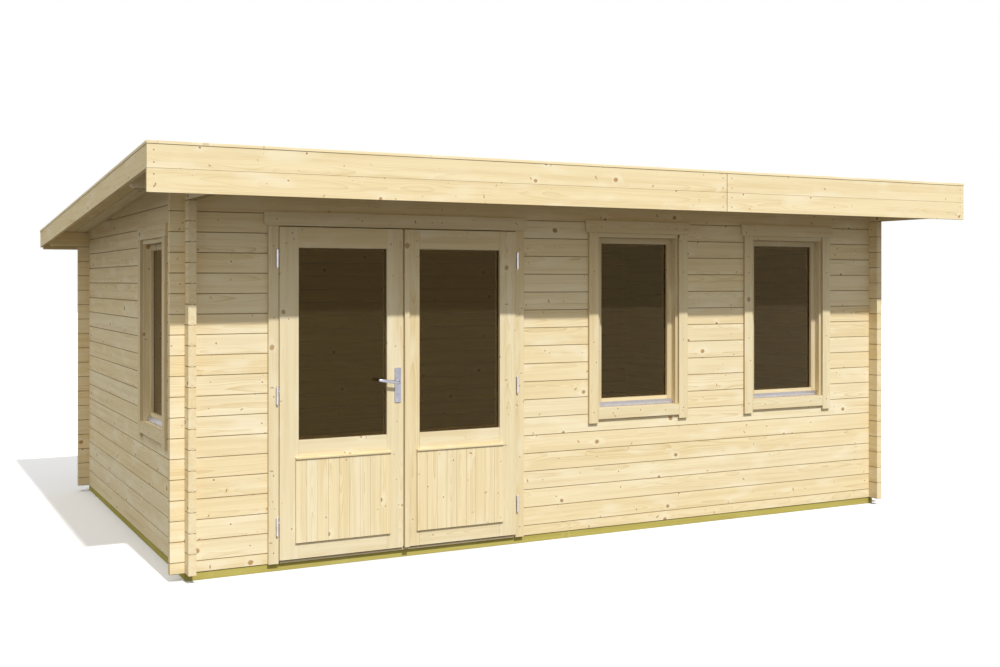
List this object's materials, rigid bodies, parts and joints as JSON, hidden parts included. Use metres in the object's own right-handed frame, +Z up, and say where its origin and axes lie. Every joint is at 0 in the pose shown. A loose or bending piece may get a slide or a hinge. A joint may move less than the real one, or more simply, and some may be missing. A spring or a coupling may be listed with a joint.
{
  "type": "log cabin",
  "caption": "Garden log cabin with interlocking log walls, a shallow mono-pitch roof with deep fascia, glazed double doors with a lever handle, and tall framed windows.",
  "frame": {"origin": "middle of the cabin's bounding box, at the bottom of the ground beams", "axes": "+X along the front wall to the right as seen from the front, +Y from the front to the back, +Z up"},
  "size_m": [5.762, 4.234, 2.3631],
  "materials": {
    "pine": "planed untreated spruce",
    "treated_pine": "sawn, green impregnated",
    "glass": "clear double glazing",
    "steel": "satin zinc",
    "aluminium": "mill finish"
  },
  "bodies": {
    "cabin": {"front_ground_beam": "treated_pine", "back_ground_beam": "treated_pine", "side_ground_beams": "treated_pine", "floor_joists": "treated_pine", "floor_boards": "pine", "front_wall_left_logs": "pine", "front_wall_middle_logs": "pine", "front_wall_pier_logs": "pine", "front_wall_right_logs": "pine", "front_wall_lower_logs": "pine", "front_wall_top_logs": "pine", "left_wall_front_logs": "pine", "left_wall_back_logs": "pine", "left_wall_lower_logs": "pine", "left_wall_top_logs": "pine", "right_wall_logs": "pine", "back_wall_logs": "pine", "roof_purlins": "pine", "roof_boards": "pine", "front_fascia": "pine", "back_fascia": "pine", "left_barge_board": "pine", "right_barge_board": "pine", "roof_edge_caps": "pine", "door_frame": "pine", "door_threshold": "pine", "door_trim": "pine", "door_frame_hinges": "steel", "window_frames": "pine", "window_sashes": "pine", "window_glass": "glass", "window_trim": "pine", "window_drip_rails": "aluminium"},
    "left_door": {"left_door_frame": "pine", "left_door_glass": "glass", "left_door_panel": "pine", "left_door_hinges": "steel", "left_door_handle_plates": "steel"},
    "right_door": {"right_door_frame": "pine", "right_door_glass": "glass", "right_door_panel": "pine", "right_door_hinges": "steel"},
    "lever": {"door_lever": "steel"}
  },
  "joints": [
    {"name": "left_door_hinge", "type": "hinge", "parent": "cabin", "child": "left_door", "pos_m": [-2.0427, -1.58, 1], "axis": [0, 0, -1], "range_deg": [0, 110]},
    {"name": "right_door_hinge", "type": "hinge", "parent": "cabin", "child": "right_door", "pos_m": [-0.4857, -1.58, 1], "axis": [0, 0, 1], "range_deg": [0, 110]},
    {"name": "lever_turn", "type": "hinge", "parent": "left_door", "child": "lever", "pos_m": [-1.3027, -1.557, 1.055], "axis": [0, -1, 0], "range_deg": [0, 45], "stiffness_Nm_per_rad": 1.5, "springref_deg": -28.65}
  ]
}
